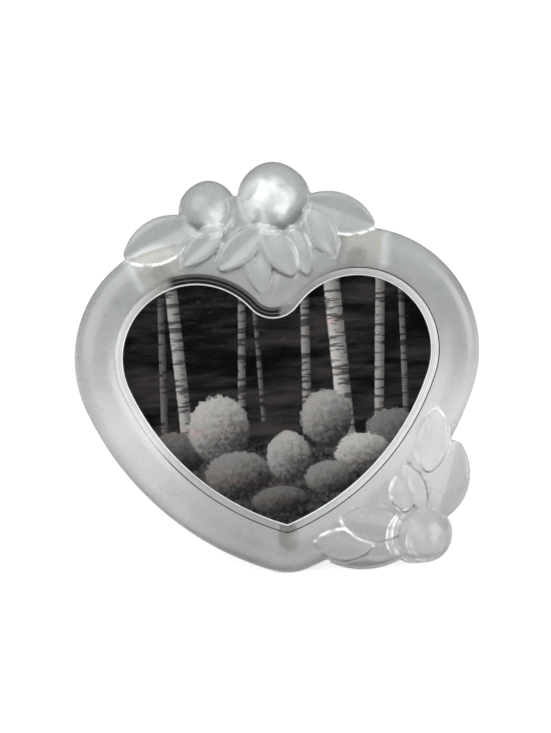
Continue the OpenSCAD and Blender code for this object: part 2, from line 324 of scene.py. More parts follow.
def measure(mesh):
    """Keeps two values at each vertex: its distance out of the window, and how hollow the skin is."""
    count = len(mesh.vertices)
    places = np.empty(count * 3)
    mesh.vertices.foreach_get("co", places)
    places = places.reshape(-1, 3)
    turn = np.array(STAND.inverted())
    flat = places @ turn[:3, :3].T + turn[:3, 3]
    out = window_distance(flat[:, :2])
    normals = np.empty(count * 3)
    mesh.vertices.foreach_get("normal", normals)
    normals = normals.reshape(-1, 3)
    ends = np.empty(len(mesh.edges) * 2, dtype=np.int64)
    mesh.edges.foreach_get("vertices", ends)
    ends = ends.reshape(-1, 2)
    near = np.zeros(count)
    np.add.at(near, ends.ravel(), 1)
    total = np.zeros((count, 3))
    np.add.at(total, ends[:, 0], places[ends[:, 1]])
    np.add.at(total, ends[:, 1], places[ends[:, 0]])
    hollow = ((total / near[:, None] - places) * normals).sum(1) / MM
    hollow[(out < BEVEL_W + 1) | (flat[:, 2] < 1)] = 0
    for _ in range(2):
        spread = np.zeros(count)
        np.add.at(spread, ends[:, 0], hollow[ends[:, 1]])
        np.add.at(spread, ends[:, 1], hollow[ends[:, 0]])
        hollow = 0.5 * hollow + 0.5 * spread / near
    for name, values in (("window_out", out), ("hollow", hollow)):
        layer = mesh.attributes.new(name, "FLOAT", "POINT")
        layer.data.foreach_set("value", values.astype(np.float32))


# How high the glass between leaves and berries stands
WEB_T = 12


def web(x, y, r, n=40):
    """The glass between leaves and berries."""
    turns = [2 * math.pi * i / n for i in range(n)]
    ring = [(x + r * math.cos(t), y + r * math.sin(t)) for t in turns]
    return stacked([[(a, b, z) for a, b in ring] for z in (UNDER, WEB_T)])


def split_faces(mesh):
    """Only triangles. The many sided faces that the cuts leave could fold over if split later."""
    shell = bmesh.new()
    shell.from_mesh(mesh)
    bmesh.ops.triangulate(shell, faces=shell.faces)
    shell.to_mesh(mesh)
    shell.free()


# An edge of a ground or polished face that turns more than this stays crisp
CRISP = math.radians(25)


def keep_facets(mesh):
    """Smooth shading, with crisp edges round every ground or polished face."""
    shell = bmesh.new()
    shell.from_mesh(mesh)
    for face in shell.faces:
        face.smooth = True
    for edge in shell.edges:
        if len(edge.link_faces) == 2 and any(face.material_index for face in edge.link_faces):
            edge.smooth = edge.calc_face_angle() < CRISP
    shell.to_mesh(mesh)
    shell.free()


# The size of the casting's facets, and how often it is smoothed by what share
VOXEL = 0.55
SOFTENINGS, SOFTEN_SHARE = 4, 0.5
# How far the tools that cut it reach past it
PAST = 10


def glass_casting(satin, frosted, polished):
    """The pressed heart as one casting: rim, berries and leaves run into each other, then the window
    is cut and polished, and the back and the foot are ground flat."""
    shapes = [rim(), prism(0, 2, 0, OVER_PANE)]
    shapes += [ball(*values) for values in BALLS]
    shapes += [leaf(*values) for values in TOP_LEAVES + LOW_LEAVES]
    shapes += [web(*values) for values in WEBS]
    piece = joined("glass_casting", shapes)
    piece.data.materials.append(satin)
    fuse = piece.modifiers.new("fuse", "REMESH")
    fuse.mode = "VOXEL"
    fuse.voxel_size = VOXEL * MM
    soften = piece.modifiers.new("soften", "SMOOTH")
    soften.factor = SOFTEN_SHARE
    soften.iterations = SOFTENINGS
    apply_modifiers(piece)
    slope = BEVEL_W / (BEVEL_TOP - PANE_FRONT)
    window = mesh_object("window", *prism(0, PANE_FRONT, slope * PAST, PANE_FRONT + PAST))
    subtract(piece, window, polished)
    back = mesh_object("back", *block((-100, -30, -40), (100, 200, 0)))
    subtract(piece, back, frosted)
    recess = mesh_object("recess", *prism(RECESS_GAP, -1, RECESS_GAP, RECESS_D))
    subtract(piece, recess, polished)
    ground = mesh_object("ground", *block((-100, -100, -40), (100, 200, 0)))
    ground.data.transform(Matrix.Scale(MM, 4) @ STAND.inverted())
    subtract(piece, ground, frosted)
    split_faces(piece.data)
    keep_facets(piece.data)
    measure(piece.data)
    return piece


# Finishes


class Finish:
    """One material, and short ways to write its nodes."""

    def __init__(self, name):
        self.material = bpy.data.materials.new(name)
        self.material.use_nodes = True
        self.nodes, self.links = self.material.node_tree.nodes, self.material.node_tree.links
        self.shader = self.nodes["Principled BSDF"]

    def feed(self, value, socket):
        """Links a node's output to a socket, or sets a plain value on it."""
        if isinstance(value, bpy.types.NodeSocket):
            self.links.new(value, socket)
        else:
            socket.default_value = value

    def set(self, **values):
        """Feeds the shader's sockets, named as base_color for Base Color."""
        for name, value in values.items():
            socket = name.replace("_", " ").title().replace("Ior", "IOR")
            self.feed(value, self.shader.inputs[socket])

    def maths(self, operation, a, b=0.0, c=0.0, clamp=False):
        step = self.nodes.new("ShaderNodeMath")
        step.operation = operation
        step.use_clamp = clamp
        for value, socket in zip((a, b, c), step.inputs):
            self.feed(value, socket)
        return step.outputs[0]

    def ease(self, value, low, high, to_low=0.0, to_high=1.0):
        """A smooth step from one level to another."""
        step = self.nodes.new("ShaderNodeMapRange")
        step.interpolation_type = "SMOOTHSTEP"
        levels = {"From Min": low, "From Max": high, "To Min": to_low, "To Max": to_high}
        for name, number in levels.items():
            step.inputs[name].default_value = number
        self.feed(value, step.inputs["Value"])
        return step.outputs[0]

    def mix(self, share, a, b, blend="MIX"):
        step = self.nodes.new("ShaderNodeMix")
        step.data_type = "RGBA"
        step.blend_type = blend
        self.feed(share, step.inputs["Factor"])
        self.feed((*a, 1) if isinstance(a, tuple) and len(a) == 3 else a, step.inputs[6])
        self.feed((*b, 1) if isinstance(b, tuple) and len(b) == 3 else b, step.inputs[7])
        return step.outputs[2]

    def ramp(self, share, stops):
        """A scale of greys, as (place, tone)."""
        step = self.nodes.new("ShaderNodeValToRGB")
        marks = step.color_ramp.elements
        while len(marks) < len(stops):
            marks.new(0.5)
        for mark, (place, tone) in zip(marks, stops):
            mark.position = place
            mark.color = (tone, tone, tone, 1)
        self.feed(share, step.inputs[0])
        return step.outputs[0]

    def object_mm(self, stretch=(1, 1, 1)):
        """Object coordinates in millimetres, with each axis stretched."""
        place = self.nodes.new("ShaderNodeTexCoord")
        step = self.nodes.new("ShaderNodeMapping")
        step.inputs["Scale"].default_value = [s / MM for s in stretch]
        self.links.new(place.outputs["Object"], step.inputs["Vector"])
        return step.outputs[0]

    def flat_mm(self, stretch=(1, 1, 1)):
        """Coordinates on the flat glass in millimetres, with each axis stretched."""
        place = self.nodes.new("ShaderNodeTexCoord")
        step = self.nodes.new("ShaderNodeMapping")
        step.inputs["Scale"].default_value = (1 / MM, 1 / MM, 1 / MM)
        step.inputs["Rotation"].default_value = (LEAN - math.pi / 2, 0, 0)
        step.inputs["Location"].default_value = STAND.inverted().translation
        self.links.new(place.outputs["Object"], step.inputs["Vector"])
        if stretch == (1, 1, 1):
            return step.outputs[0]
        pull = self.nodes.new("ShaderNodeVectorMath")
        pull.operation = "MULTIPLY"
        pull.inputs[1].default_value = stretch
        self.links.new(step.outputs[0], pull.inputs[0])
        return pull.outputs[0]

    def split(self, vector):
        step = self.nodes.new("ShaderNodeSeparateXYZ")
        self.links.new(vector, step.inputs[0])
        return step.outputs

    def noise(self, vector, scale, detail=3.0, rough=0.5, warp=0.0):
        step = self.nodes.new("ShaderNodeTexNoise")
        self.links.new(vector, step.inputs["Vector"])
        levels = {"Scale": scale, "Detail": detail, "Roughness": rough, "Distortion": warp}
        for name, number in levels.items():
            step.inputs[name].default_value = number
        return step.outputs["Fac"]

    def cells(self, vector, scale):
        """The distance to the nearest of many scattered points."""
        step = self.nodes.new("ShaderNodeTexVoronoi")
        step.inputs["Scale"].default_value = scale
        self.links.new(vector, step.inputs["Vector"])
        return step.outputs["Distance"]

    def bump(self, height, depth):
        """Raises the surface by a height in millimetres."""
        step = self.nodes.new("ShaderNodeBump")
        step.inputs["Strength"].default_value = 1.0
        step.inputs["Distance"].default_value = depth * MM
        self.links.new(height, step.inputs["Height"])
        self.links.new(step.outputs[0], self.shader.inputs["Normal"])

    def kept(self, name):
        """A value that the mesh keeps at its vertices."""
        step = self.nodes.new("ShaderNodeAttribute")
        step.attribute_name = name
        return step.outputs["Fac"]

    def slope(self):
        """1 where the skin lies parallel to the glass's back, 0 where it stands square to it."""
        step = self.nodes.new("ShaderNodeNewGeometry")
        turn = self.nodes.new("ShaderNodeVectorMath")
        turn.operation = "DOT_PRODUCT"
        turn.inputs[1].default_value = STAND.to_3x3().col[2].normalized()
        self.links.new(step.outputs["Normal"], turn.inputs[0])
        return turn.outputs["Value"]

    def blob(self, x, y, middle, radius):
        """1 in the middle of a round patch, easing to 0 at its edge."""
        dx, dy = self.maths("SUBTRACT", x, middle[0]), self.maths("SUBTRACT", y, middle[1])
        squares = self.maths("ADD", self.maths("MULTIPLY", dx, dx), self.maths("MULTIPLY", dy, dy))
        return self.ease(self.maths("SQRT", squares), 0, radius, 1, 0)

    def patch(self, tone, x, y, middle, radius, change):
        """A tone that is lighter or darker in a round patch."""
        return self.maths("MULTIPLY_ADD", self.blob(x, y, middle, radius), change, tone)

    def lay(self, mask, value, under):
        """One tone laid over another where the mask is 1."""
        bare = self.maths("MULTIPLY", under, self.maths("SUBTRACT", 1.0, mask))
        return self.maths("ADD", bare, self.maths("MULTIPLY", mask, value))


# Painted shade: the satin glass gets darker towards its top and its point, as (height share, tone)
GLASS_TOP = 150
GLASS_TONE_AND_SHADE_STOPS = [
    (0.0, 0.47), (0.09, 0.5), (0.2, 0.52), (0.35, 0.57), (0.46, 0.5),
    (0.6, 0.46), (0.66, 0.42), (0.76, 0.48), (1.0, 0.5),
]
# Round patches of painted light and shade, as middle, radius and change: all through the glass, and on its
# skin
PAINTED_DEEP_PATCHES = [((52, 34), 32, 0.12), ((74, 84), 30, -0.07), ((66, 56), 22, 0.1)]
PAINTED_SHADE_CORNER = ((-22, 8), 20, -0.12)
PAINTED_LIGHT_UNDER_BERRY = ((4, 123), 9, 0.09)
# Where a sheen is painted on the rim: along its left, and near its outer edge on the right
PAINTED_LEFT_SHEEN = ((-56, 50), 38)
PAINTED_RIGHT_SHEEN = ((72, 72), 34)
# Where highlights are painted in the two berries
PAINTED_BERRY_HIGHLIGHT = ((-0.5, 129.5), 15)
PAINTED_SMALL_HIGHLIGHT = ((-19, 125), 8.5)


def glass_tone_and_shade(f, x, y):
    """The glass's tone with painted light and shade at a place on it: painted shade greys the top and the
    point, and painted patches make it paler by the bud.
    """
    tone = f.ramp(f.maths("DIVIDE", y, GLASS_TOP), GLASS_TONE_AND_SHADE_STOPS)
    for patch in PAINTED_DEEP_PATCHES:
        tone = f.patch(tone, x, y, *patch)
    return tone


# The painted light on each leaf, in the order of its list: the painted shade of its left and its right half,
# seen from base to tip, and how bright a painted highlight (or, below 0, how dark a painted shadow) runs as
# a line along either edge
TOP_LEAF_PAINTED_LIGHT = [
    (1.1, 0.97, 1.0, 0.1), (0.95, 1.14, 0.1, 1.0), (1.06, 1.0, 0.2, 0.3),
    (1.1, 0.98, 0.3, 0.3), (1.08, 1.08, 0.15, 0.15), (1.06, 1.08, 0.35, 0.1),
    (1.04, 1.04, 0.1, 0.1), (1.06, 1.02, 0.2, 0.4),
]
LOW_LEAF_PAINTED_LIGHT = [
    (0.93, 1.04, 1.0, 0.25), (0.98, 1.0, -0.5, 1.0), (0.96, 0.96, 0.1, 0.3), (1.04, 0.95, 0.9, 0.0),
    (1.04, 1.02, 0.2, -1.0), (1.04, 1.05, 0.45, 0.55), (1.06, 0.8, 0.8, 0.2),
]
# And the painted light on each ball: its painted shade, how bright the painted highlight along its edge is,
# and the direction of its middle
BALL_PAINTED_LIGHT = [(1.0, 0.45, -80), (1.0, 0.45, -75), (0.96, 1.0, 185), (0.99, 0.8, 195), (1.08, 0.8, 225)]


def leaf_place(f, x, y, base, tip, half_w):
    """How far inside a leaf's outline a place lies, and how far to the left of its vein."""
    base, tip = Vector(base), Vector(tip)
    along = (tip - base).normalized()
    middle = (base + tip) / 2
    edge_r = (((tip - base).length / 2) ** 2 + half_w**2) / (2 * half_w)
    up = f.maths("MULTIPLY_ADD", x, along.x, f.maths("MULTIPLY_ADD", y, along.y, -middle.dot(along)))
    left_x, left_y = -along.y, along.x
    off = -(middle.x * left_x + middle.y * left_y)
    left = f.maths("MULTIPLY_ADD", x, left_x, f.maths("MULTIPLY_ADD", y, left_y, off))
    reach = f.maths("ADD", f.maths("ABSOLUTE", left), edge_r - half_w)
    away = f.maths("SQRT", f.maths("MULTIPLY_ADD", reach, reach, f.maths("MULTIPLY", up, up)))
    return f.maths("SUBTRACT", edge_r, away), left


# How dark the painted shadow beside a leaf makes the glass: among the top leaves, and among the low ones
TOP_LEAF_SHADOW, LOW_LEAF_SHADOW = 0.86, 0.95
# How bright the painted highlights along a leaf's vein and in a berry's crescent are
VEIN_LIGHT, CRESCENT_LIGHT = 0.13, 0.16


def paint_leaf_light(f, x, y, shift, shape, look, shade, line):
    """Lays one leaf's painted light and shade, and its painted lines, over the shades and lines so far."""
    base, tip, half_w, _ = shape
    left_shade, right_shade, left_line, right_line = look
    depth, left = leaf_place(f, x, y, base, tip, half_w)
    depth = f.maths("ADD", depth, shift)
    inside = f.ease(depth, -0.2, 0.2)
    hollow = TOP_LEAF_SHADOW if base[1] > 100 else LOW_LEAF_SHADOW
    # Painted shadow beside the leaf
    shade = f.maths("MULTIPLY", shade, f.ease(depth, -2.4, 0, 1.0, hollow))
    # Painted light and shade: the leaf's two halves, lighter inside its edge, with a painted highlight along
    # its vein
    halves = f.ease(left, -1.2, 1.2, right_shade, left_shade)
    own = f.maths("MULTIPLY", halves, f.ease(depth, 0, 1.6, 0.97, 1.04))
    vein = f.ease(f.maths("ABSOLUTE", f.maths("ADD", left, shift)), 0.9, 0.1)
    own = f.maths("MULTIPLY_ADD", vein, VEIN_LIGHT, own)
    shade = f.maths("MULTIPLY_ADD", inside, f.maths("SUBTRACT", own, shade), shade)
    # Painted highlights, and below 0 painted shadows, as fine lines along the leaf's edges
    edge = f.ease(f.maths("ABSOLUTE", f.maths("ADD", depth, 0.15)), 0.9, 0.15)
    painted_edge_line = f.maths("MULTIPLY", edge, f.ease(left, -0.6, 0.6, right_line, left_line))
    line = f.maths("MULTIPLY", line, f.maths("SUBTRACT", 1.0, inside))
    return shade, f.maths("ADD", line, painted_edge_line)


def paint_ball_light(f, x, y, shift, shape, look, shade, line):
    """Lays one berry's painted shade over the shades and lines so far, with a painted shadow round it and a
    painted crescent of light along its low side.
    """
    middle_x, middle_y, r, _ = shape
    ball_shade, brightness, turn = look
    dx, dy = f.maths("SUBTRACT", x, middle_x), f.maths("SUBTRACT", y, middle_y)
    away = f.maths("SQRT", f.maths("MULTIPLY_ADD", dx, dx, f.maths("MULTIPLY", dy, dy)))
    depth = f.maths("SUBTRACT", r, f.maths("ADD", away, f.maths("MULTIPLY", shift, 0.6)))
    inside = f.ease(depth, -0.2, 0.2)
    # Painted shadow beside the berry
    shade = f.maths("MULTIPLY", shade, f.ease(depth, -2.2, 0, 1.0, 0.88))
    turn = math.radians(turn)
    # Painted crescent of light along the low side, over painted shading that is lighter in the middle
    facing = f.maths("MULTIPLY_ADD", dx, math.cos(turn), f.maths("MULTIPLY", dy, math.sin(turn)))
    low = f.ease(facing, -r * 0.1, r * 0.8)
    arched = f.ease(f.maths("ABSOLUTE", f.maths("SUBTRACT", depth, 1.0)), 1.1, 0.2)
    crescent = f.maths("MULTIPLY", arched, low)
    rounded = f.ease(depth, 0, r * 0.45, 0.94 * ball_shade, 1.04 * ball_shade)
    own = f.maths("MULTIPLY_ADD", crescent, CRESCENT_LIGHT, rounded)
    shade = f.maths("MULTIPLY_ADD", inside, f.maths("SUBTRACT", own, shade), shade)
    # Painted highlight as a fine line along the low edge
    edge = f.ease(f.maths("ABSOLUTE", f.maths("ADD", depth, 0.25)), 0.6, 0.1)
    line = f.maths("MULTIPLY", line, f.maths("SUBTRACT", 1.0, inside))
    line = f.maths("ADD", line, f.maths("MULTIPLY", edge, f.maths("MULTIPLY", low, brightness)))
    return shade, f.maths("MULTIPLY_ADD", f.maths("MULTIPLY", inside, crescent), 0.45, line)


def painted_relief_shading(f, x, y):
    """The painted shade of each leaf and berry, and the painted highlights and shadows as fine lines along
    their edges, laid over each other from the lowest leaf to the highest, then the berries."""
    wander = f.noise(f.flat_mm(), 0.7, 3, 0.6)
    broken = f.ease(f.noise(f.flat_mm(), 0.33, 2, 0.5), 0.36, 0.56, 0.2, 1.0)
    shift = f.maths("MULTIPLY_ADD", wander, 1.1, -0.55)
    shade, line = 1.0, 0.0
    leaves = zip(TOP_LEAVES + LOW_LEAVES, TOP_LEAF_PAINTED_LIGHT + LOW_LEAF_PAINTED_LIGHT)
    for shape, look in sorted(leaves, key=lambda pair: pair[0][3]):
        shade, line = paint_leaf_light(f, x, y, shift, shape, look, shade, line)
    for shape, look in zip(BALLS, BALL_PAINTED_LIGHT):
        shade, line = paint_ball_light(f, x, y, shift, shape, look, shade, line)
    return shade, f.maths("MULTIPLY", line, broken)


def satin_glass():
    """Pressed glass with a satin skin: cloudy and a little green, with painted light and shade: painted
    highlights make it brighter along its edges, in its creases and in the berries, and painted shade darkens
    it beside its leaves and towards its top and its point.
    """
    f = Finish("satin_glass")
    x, y, z = f.split(f.flat_mm())
    # The glass's tone, with painted shade towards its top and point and painted patches of light and shade
    tone = glass_tone_and_shade(f, x, y)
    cloud = f.noise(f.flat_mm((1, 1, 0.6)), 0.07, 4, 0.55, 0.6)
    tone = f.maths("MULTIPLY", tone, f.ease(cloud, 0.25, 0.75, 0.94, 1.06))
    # Painted light: steep faces are a little lighter than faces parallel to the back
    tone = f.maths("MULTIPLY", tone, f.ease(f.slope(), 0.45, 0.95, 1.02, 1.0))
    # Painted highlight: the glass is lighter in its creases and hollows
    crease_highlight = f.ease(f.kept("hollow"), 0.05, 0.15)
    tone = f.maths("MULTIPLY", tone, f.maths("MULTIPLY_ADD", crease_highlight, 0.15, 1.0))
    out = f.kept("window_out")
    # Painted sheen along the rim's left
    sheen = f.maths("MULTIPLY", f.ease(f.blob(x, y, *PAINTED_LEFT_SHEEN), 0.1, 0.7), f.ease(out, 14.5, 11))
    tone = f.maths("MULTIPLY_ADD", sheen, 0.15, tone)
    # Painted shade in a patch at the lower left
    tone = f.patch(tone, x, y, *PAINTED_SHADE_CORNER)
    # Painted sheen near the rim's outer edge on the right
    sheen = f.maths("MULTIPLY", f.ease(f.blob(x, y, *PAINTED_RIGHT_SHEEN), 0.1, 0.6), f.ease(out, 12.5, 15.5))
    tone = f.maths("MULTIPLY_ADD", sheen, 0.12, tone)
    # Painted light in a patch under the big berry
    tone = f.patch(tone, x, y, *PAINTED_LIGHT_UNDER_BERRY)
    # Painted light and shade of the leaves and berries, laid on the front
    shade, line = painted_relief_shading(f, x, y)
    front = f.ease(z, 3, 6)
    tone = f.maths("MULTIPLY", tone, f.maths("MULTIPLY_ADD", front, f.maths("SUBTRACT", shade, 1.0), 1.0))
    # Painted highlights in the two berries: cloudy white swirls
    swirl = f.noise(f.flat_mm(), 0.085, 2, 0.5, 1.6)
    small = f.maths("MULTIPLY", f.blob(x, y, *PAINTED_SMALL_HIGHLIGHT), 0.55)
    glow = f.maths("MAXIMUM", f.blob(x, y, *PAINTED_BERRY_HIGHLIGHT), small)
    cloudy = f.maths("MULTIPLY", f.ease(swirl, 0.25, 0.64, 0.3, 1.0), front)
    glow = f.maths("MULTIPLY", f.ease(glow, 0.1, 0.6), cloudy)
    # Painted highlights: the lines, creases and berries' swirls turn whiter and less clear
    bright = f.maths("MAXIMUM", f.maths("MULTIPLY", line, front), f.maths("MULTIPLY", crease_highlight, 0.2))
    bright = f.maths("MAXIMUM", bright, f.maths("MULTIPLY", glow, 0.84), clamp=True)
    # Painted shadows as dark lines along some edges
    dark = f.maths("MULTIPLY", f.maths("MAXIMUM", f.maths("MULTIPLY", line, -1.0), 0.0), front)
    tone = f.maths("MULTIPLY_ADD", bright, f.maths("SUBTRACT", 1.0, tone), tone, clamp=True)
    tone = f.maths("MULTIPLY", tone, f.maths("MULTIPLY_ADD", dark, -0.6, 1.0))
    # Painted reflection of the dark print on the satin beside the window's edge
    beside = f.ease(out, BEVEL_W + 1.3, BEVEL_W + 0.8)
    strip = f.maths("MULTIPLY", beside, f.maths("MULTIPLY", painted_print_reflection(f, x, y), front))
    tone = f.maths("MULTIPLY", tone, f.maths("MULTIPLY_ADD", strip, -0.93, 1.0))
    tint = f.mix(f.ease(y, 60, 110), (0.985, 1.0, 0.99), (0.955, 1.0, 0.98))
    colour = f.mix(1.0, tint, tone, "MULTIPLY")
    f.set(base_color=colour, roughness=f.ease(cloud, 0.3, 0.7, 0.24, 0.32), ior=1.5)
    f.set(transmission_weight=f.maths("MULTIPLY_ADD", bright, -0.7, 0.8))
    f.bump(f.noise(f.flat_mm(), 0.3, 3, 0.5), 0.02)
    return f.material


# Where the clips' glue wets the ground back, and how far it spreads
GLUED = [((-40.5, 108.5), 12), ((33.5, 109.5), 11)]


def frosted_glass():
    """The ground back: even and dull, and clear where glue wets it."""
    f = Finish("frosted_glass")
    x, y, _ = f.split(f.flat_mm())
    cloud = f.noise(f.flat_mm(), 0.12, 4, 0.6)
    grit = f.noise(f.flat_mm(), 2.5, 2, 0.6)
    # The glass's tone with its painted shade, greyer at the top and the point
    tone = f.maths("MULTIPLY", glass_tone_and_shade(f, x, y), f.ease(cloud, 0.3, 0.7, 1.02, 1.12), clamp=True)
    wet_left, wet_right = (f.blob(x, y, *patch) for patch in GLUED)
    wet = f.ease(f.maths("MAXIMUM", wet_left, wet_right), 0.05, 0.3)
    tone = f.maths("MULTIPLY_ADD", wet, f.maths("SUBTRACT", 1.0, tone), tone)
    f.set(base_color=f.mix(1.0, (0.97, 1.0, 0.985), tone, "MULTIPLY"))
    f.set(roughness=f.maths("MULTIPLY_ADD", wet, -0.2, f.ease(grit, 0.3, 0.7, 0.45, 0.6)))
    f.set(ior=1.5, transmission_weight=0.75)
    f.bump(grit, 0.02)
    return f.material


# The painted reflections on the bevel as fine lines, as (distance out of the window, tone), over its width
BEVEL_REFLECTION_LINES = [
    (0.0, 1.0), (0.35, 1.0), (0.48, 0.5), (0.65, 0.85), (1.0, 0.9),
    (1.12, 0.55), (1.25, 0.88), (2.2, 0.92), (2.4, 0.7),
]


def painted_print_reflection(f, x, y):
    """Where a reflection of the dark print is painted on and beside the window's edge: over the left lobe
    and down into the notch.
    """
    between = f.maths("MULTIPLY", f.ease(x, -40, -34), f.ease(x, 5, 1))
    return f.maths("MULTIPLY", f.ease(y, 82, 87), between)


def polished_glass():
    """The bevel, the pane and the recess: ground and polished, with a painted highlight along the lip,
    painted reflections in fine lines across the bevel, and a fine dark reflection painted along its outer
    edge.
    """
    f = Finish("polished_glass")
    x, y, z = f.split(f.flat_mm())
    out = f.maths("MULTIPLY", f.maths("SUBTRACT", z, PANE_FRONT), BEVEL_W / (BEVEL_TOP - PANE_FRONT))
    on_bevel = f.ease(out, 0.005, 0.03)
    # Painted highlight: a bright, less clear line along the lip at the bevel's foot
    lip = f.maths("MULTIPLY", f.ease(out, 0.55, 0.3), on_bevel)
    # Painted reflection: a fine dark line along the bevel's outer edge, strongest on its lower and right
    # sides
    near_edge_reflection = f.maths("ABSOLUTE", f.maths("SUBTRACT", out, BEVEL_W - 0.1))
    low_or_right = f.maths("MAXIMUM", f.ease(x, 8, 26, 0.2, 1), f.ease(y, 50, 40))
    edge_reflection = f.maths("MULTIPLY", f.ease(near_edge_reflection, 0.3, 0.16), low_or_right)
    # Painted reflection of the dark print as a dark band on the bevel, with a painted glint line through it
    band = f.maths("MULTIPLY", f.ease(out, 0.45, 0.65), painted_print_reflection(f, x, y))
    streak = f.noise(f.flat_mm(), 0.5, 4, 0.7, 1.0)
    glint = f.ease(f.maths("ABSOLUTE", f.maths("SUBTRACT", out, 1.6)), 0.22, 0.05, 0, 0.22)
    band = f.maths("MULTIPLY", band, f.maths("SUBTRACT", f.ease(streak, 0.3, 0.5, 0.97, 1.0), glint))
    dark = f.maths("MAXIMUM", edge_reflection, band, clamp=True)
    # Painted reflections: fine light and dark lines across the bevel
    lines = f.ramp(f.maths("DIVIDE", out, BEVEL_W), [(place / BEVEL_W, tone) for place, tone in BEVEL_REFLECTION_LINES])
    lines = f.maths("MULTIPLY", lines, f.ease(streak, 0.35, 0.65, 0.9, 1.0))
    # Painted shade on the bevel's lines at the lower left
    shaded = f.maths("MULTIPLY", f.ease(x, 10, -10), f.ease(y, 50, 35))
    lines = f.maths("MULTIPLY", lines, f.maths("MULTIPLY_ADD", shaded, -0.3, 1.0))
    bevel = f.mix(1.0, (0.95, 0.97, 0.96), lines, "MULTIPLY")
    clear = f.mix(on_bevel, (0.97, 0.98, 0.975), bevel)
    colour = f.mix(dark, clear, (0.008, 0.008, 0.009))
    f.set(base_color=colour, roughness=f.ease(streak, 0.3, 0.7, 0.02, 0.06), ior=1.5)
    f.set(specular_ior_level=f.maths("MULTIPLY_ADD", dark, -0.4, 0.5))
    # Painted light: the bevel is paler and less clear on its right and left
    side = f.maths("MAXIMUM", f.ease(x, -10, 50), f.maths("MULTIPLY", f.ease(x, -30, -50), 0.8))
    pale = f.maths("MULTIPLY", f.maths("MULTIPLY", side, on_bevel), 0.8)
    solid = f.maths("MAXIMUM", f.maths("MAXIMUM", dark, lip), pale)
    f.set(transmission_weight=f.maths("SUBTRACT", 1.0, solid, clamp=True))
    return f.material


# The picture: pale trunks and boulders in a dark wood. Trunks as x at the ground, lean, half width,
# tone and foot; boulders as x, y, half width, half height and tone
TRUNKS = [
    (-41, 0.03, 1.3, 0.2, 52), (-33, -0.05, 2.2, 0.6, 46), (-14, 0.06, 1.4, 0.34, 50),
    (-6, -0.02, 0.9, 0.2, 54), (9, 0.04, 1.6, 0.46, 49), (23, -0.04, 3.0, 0.78, 44),
    (34, 0.07, 1.7, 0.5, 47), (44, 0.02, 1.1, 0.25, 52),
]
BOULDERS = [
    (-38, 44, 11, 8, 0.22), (39, 47, 10, 9, 0.26), (-22, 52, 11, 12, 0.66),
    (16, 54, 9, 10, 0.5), (28, 41, 10, 7, 0.7), (-16, 36, 12, 8, 0.34),
    (2, 41, 8, 9, 0.56), (16, 33, 9, 6, 0.34), (-2, 26, 10, 5, 0.22),
]


def picture():
    """A glossy monochrome print of a wood at dusk."""
    f = Finish("print_picture")
    x, y, _ = f.split(f.flat_mm())
    wide = f.noise(f.flat_mm((0.3, 1.6, 1)), 0.12, 5, 0.6)
    fine = f.noise(f.flat_mm(), 0.55, 6, 0.65, 0.4)
    grain = f.noise(f.flat_mm(), 3.0, 2, 0.5)
    tone = f.ease(wide, 0.38, 0.75, 0.0, 0.06)
    leaves = f.maths("MULTIPLY", f.ease(fine, 0.56, 0.7), f.ease(y, 62, 96, 0.0, 0.04))
    tone = f.maths("ADD", tone, leaves)
    ground = f.maths("MULTIPLY", f.ease(y, 52, 40), f.ease(fine, 0.35, 0.7, 0.0, 0.1))
    tone = f.maths("ADD", tone, ground)
    marks = f.noise(f.flat_mm((0.25, 1.4, 1)), 0.45, 3, 0.6)
    for foot_x, tilt, half_w, pale, foot_y in TRUNKS:
        line = f.maths("MULTIPLY_ADD", y, tilt, foot_x - tilt * foot_y)
        across = f.maths("DIVIDE", f.maths("SUBTRACT", x, line), half_w)
        across = f.maths("ADD", across, f.maths("MULTIPLY", f.maths("SUBTRACT", fine, 0.5), 0.5))
        stem = f.ease(f.maths("ABSOLUTE", across), 1.05, 0.85)
        mask = f.maths("MULTIPLY", stem, f.ease(y, foot_y - 1, foot_y + 1))
        round_off = f.ease(across, -0.9, 1.0, 1.0, 0.3)
        bark = f.maths("MULTIPLY", f.ease(marks, 0.42, 0.5, 0.25, 1.0), round_off)
        tone = f.lay(mask, f.maths("MULTIPLY", bark, pale), tone)
    for cx, cy, rx, ry, pale in BOULDERS:
        u = f.maths("DIVIDE", f.maths("SUBTRACT", x, cx), rx)
        v = f.maths("DIVIDE", f.maths("SUBTRACT", y, cy), ry)
        away = f.maths("SQRT", f.maths("ADD", f.maths("MULTIPLY", u, u), f.maths("MULTIPLY", v, v)))
        away = f.maths("ADD", away, f.maths("MULTIPLY", f.maths("SUBTRACT", fine, 0.5), 0.55))
        mask = f.ease(away, 1.02, 0.94)
        light = f.maths("SUBTRACT", f.maths("MULTIPLY", v, 0.75), f.maths("MULTIPLY", u, 0.45))
        light = f.maths("ADD", light, f.maths("MULTIPLY", f.maths("SUBTRACT", fine, 0.5), 1.6))
        tone = f.lay(mask, f.maths("MULTIPLY", f.ease(light, -0.8, 0.8, 0.08, 1.0), pale), tone)
    tone = f.maths("MULTIPLY", tone, f.ease(grain, 0.2, 0.8, 0.85, 1.15))
    warm = f.mix(f.ease(wide, 0.5, 0.7), (1.0, 0.97, 0.94), (1.12, 0.9, 0.88))
    f.set(base_color=f.mix(1.0, warm, tone, "MULTIPLY"), roughness=0.4, specular_ior_level=0.05)
    return f.material


